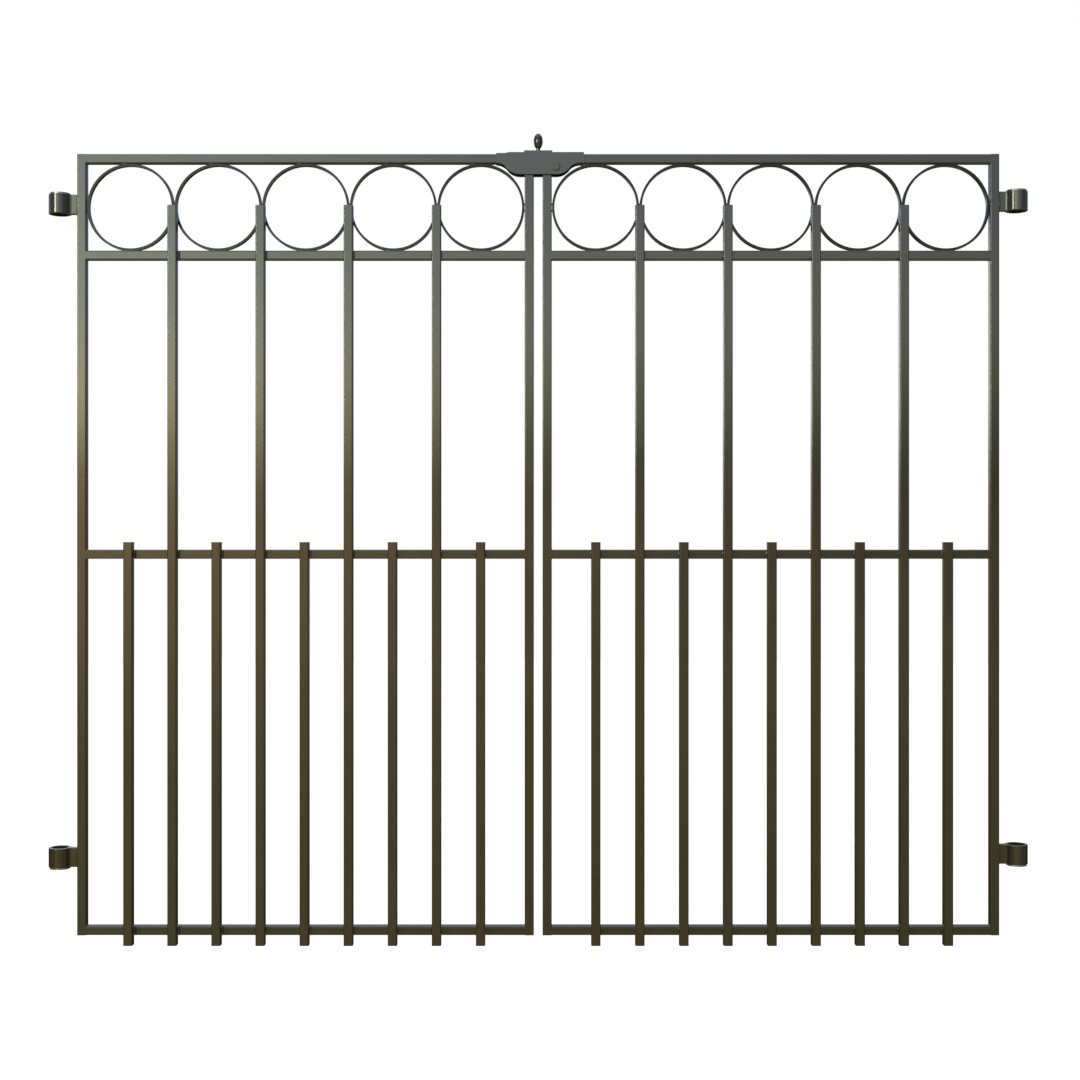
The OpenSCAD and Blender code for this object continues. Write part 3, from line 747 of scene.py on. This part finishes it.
def light_world():
    """The studio's sky: what lights the gate and stands in its reflections, with a white backdrop to the camera."""
    world = bpy.data.worlds.new("studio")
    world.use_nodes = True
    tree = world.node_tree
    tree.nodes.clear()
    split = add(tree, "ShaderNodeSeparateXYZ", {0: add(tree, "ShaderNodeTexCoord").outputs["Generated"]})
    x, y, height = split.outputs
    band = {name: sky_band(tree, height, stops) for name, stops in SKY.items()}
    front = blend(tree, band["front_left"], band["front"], x, -0.28, 0.0)
    front = blend(tree, front, band["front_right"], x, 0.0, 0.28)
    reach = add(tree, "ShaderNodeMath", {0: x}, operation="ABSOLUTE").outputs[0]
    front = blend(tree, front, band["side"], reach, 0.45, 0.75)
    back = blend(tree, band["back_left"], band["back_right"], x, -0.05, 0.05)
    round_about = blend(tree, front, back, y, -0.15, 0.15)
    round_about = blend(tree, round_about, band["overhead"], height, 0.6, 0.85)
    sky = add(tree, "ShaderNodeBackground", {"Color": round_about, "Strength": SKY_TOP})
    white = add(tree, "ShaderNodeBackground", {"Color": (1, 1, 1, 1), "Strength": 1.0})
    path = add(tree, "ShaderNodeLightPath")
    # Reflections show the white backdrop too, but only low behind the gate and to the left.
    seen = add(tree, "ShaderNodeMath", {0: path.outputs["Is Glossy Ray"], 1: path.outputs["Is Transmission Ray"]},
               operation="MAXIMUM")
    behind = add(tree, "ShaderNodeMapRange", {"Value": y, "From Min": 0.8, "From Max": 0.9})
    left = add(tree, "ShaderNodeMapRange", {"Value": x, "From Min": 0.0, "From Max": -0.05})
    above = add(tree, "ShaderNodeMapRange", {"Value": height, "From Min": 0.06, "From Max": 0.1})
    below = add(tree, "ShaderNodeMapRange", {"Value": height, "From Min": 0.19, "From Max": 0.15})
    level = add(tree, "ShaderNodeMath", {0: above.outputs[0], 1: below.outputs[0]}, operation="MULTIPLY")
    area = add(tree, "ShaderNodeMath", {0: behind.outputs[0], 1: left.outputs[0]}, operation="MULTIPLY")
    area = add(tree, "ShaderNodeMath", {0: area.outputs[0], 1: level.outputs[0]}, operation="MULTIPLY")
    mirrored = add(tree, "ShaderNodeMath", {0: seen.outputs[0], 1: area.outputs[0]}, operation="MULTIPLY")
    shown = add(tree, "ShaderNodeMath", {0: path.outputs["Is Camera Ray"], 1: mirrored.outputs[0]},
                operation="MAXIMUM")
    mix = add(tree, "ShaderNodeMixShader", {0: shown.outputs[0], 1: sky.outputs[0], 2: white.outputs[0]})
    add(tree, "ShaderNodeOutputWorld", {"Surface": mix.outputs[0]})
    bpy.context.scene.world = world


def floor_material():
    """Pale studio vinyl, lit from within so that it melts into the white backdrop and keeps only a faint shadow."""
    material, tree = empty_material("pale_studio_vinyl")
    place = add(tree, "ShaderNodeTexCoord").outputs["Object"]
    grain = add(tree, "ShaderNodeTexNoise", {"Vector": place, "Scale": 1 / (40 * MM), "Detail": 3.0})
    rough = add(tree, "ShaderNodeMapRange", {"Value": grain.outputs["Fac"], "To Min": 0.8, "To Max": 0.95})
    matt = add(tree, "ShaderNodeBsdfPrincipled", {"Base Color": linear("#9C9A94"), "Roughness": rough.outputs[0],
                                                  "Specular IOR Level": 0.1})
    glow = add(tree, "ShaderNodeEmission", {"Color": (1, 1, 1, 1), "Strength": 0.9})
    both = add(tree, "ShaderNodeAddShader", {0: matt.outputs[0], 1: glow.outputs[0]})
    path = add(tree, "ShaderNodeLightPath")
    shown = add(tree, "ShaderNodeMixShader", {0: path.outputs["Is Camera Ray"], 1: matt.outputs[0],
                                              2: both.outputs[0]})
    add(tree, "ShaderNodeOutputMaterial", {"Surface": shown.outputs[0]})
    return material


class GATE_OT_studio(bpy.types.Operator):
    """Sets up the floor, the lights and the camera"""
    bl_idname = "gate.studio"
    bl_label = "Set up the studio"

    def execute(self, context):
        chosen = context.scene.gate_studio
        scene = context.scene
        scene.view_settings.view_transform = "Standard"
        low, high = (np.array(corner) for corner in CAD_BOX)
        middle_x = (low[0] + high[0]) / 2
        floor_z = low[2] - chosen.floor_drop
        t = np.linspace(0, 2 * np.pi, 96, endpoint=False)
        disc = np.stack([middle_x + FLOOR_RADIUS * np.cos(t), FLOOR_RADIUS * np.sin(t), 0 * t + floor_z], axis=-1)
        mesh = bpy.data.meshes.new("studio_floor")
        mesh.from_pydata(disc.tolist(), [], [list(range(len(disc)))])
        mesh.materials.append(floor_material())
        ground = bpy.data.objects.new("studio_floor", mesh)
        scene.collection.objects.link(ground)
        # The gate's coat mirrors the sky's olive ground, so the floor stays out of reflections.
        ground.visible_glossy = False
        ground.visible_diffuse = False
        light_world()
        strip = bpy.data.lights.new("strip_softbox", "AREA")
        strip.shape, strip.energy, strip.color = "RECTANGLE", chosen.softbox_power, SOFTBOX_COLOUR
        strip.size, strip.size_y = SOFTBOX_SIZE
        lamp = bpy.data.objects.new("strip_softbox", strip)
        lamp.location = (middle_x - SOFTBOX_AWAY * math.sin(SOFTBOX_AZIMUTH),
                         -SOFTBOX_AWAY * math.cos(SOFTBOX_AZIMUTH), chosen.camera_height + SOFTBOX_LIFT)
        lamp.rotation_euler = (SOFTBOX_TILT, 0, -SOFTBOX_AZIMUTH)
        scene.collection.objects.link(lamp)
        lens = bpy.data.cameras.new("gate_camera")
        lens.sensor_width, lens.lens = SENSOR_WIDTH, chosen.lens
        camera = bpy.data.objects.new("gate_camera", lens)
        camera.location = (middle_x + CAMERA_ASIDE, -chosen.camera_distance, chosen.camera_height)
        camera.rotation_euler = (math.radians(90), 0, 0)
        scene.collection.objects.link(camera)
        scene.camera = camera
        return {"FINISHED"}


class GATE_PT_panel(bpy.types.Panel):
    """The gate's sizes, colours and steps"""
    bl_idname = "GATE_PT_panel"
    bl_label = "Gate"
    bl_space_type = "VIEW_3D"
    bl_region_type = "UI"
    bl_category = "Gate"

    def draw(self, context):
        for name, kind in SETTINGS.items():
            group = getattr(context.scene, name)
            for field in kind.__annotations__:
                self.layout.prop(group, field)
        for step in STEPS:
            self.layout.operator(step.bl_idname)


SETTINGS = {
    "gate_coat": GateCoatSettings,
    "gate_welds": GateWeldSettings,
    "gate_hinges": GateHingeSettings,
    "gate_latch": GateLatchSettings,
    "gate_studio": GateStudioSettings,
}
STEPS = (GATE_OT_studio, GATE_OT_coat, GATE_OT_welds, GATE_OT_flush_welds, GATE_OT_eyes, GATE_OT_knob, GATE_OT_pivot)


def register():
    for kind in (*SETTINGS.values(), *STEPS, GATE_PT_panel):
        bpy.utils.register_class(kind)
    for name, kind in SETTINGS.items():
        setattr(bpy.types.Scene, name, bpy.props.PointerProperty(type=kind))


def unregister():
    for name in SETTINGS:
        delattr(bpy.types.Scene, name)
    for kind in reversed((*SETTINGS.values(), *STEPS, GATE_PT_panel)):
        bpy.utils.unregister_class(kind)


def main():
    """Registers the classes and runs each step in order."""
    register()
    bpy.ops.gate.studio()
    bpy.ops.gate.coat()
    bpy.ops.gate.welds()
    bpy.ops.gate.flush_welds()
    bpy.ops.gate.eyes()
    bpy.ops.gate.knob()
    bpy.ops.gate.pivot()


if __name__ == "__main__":
    main()
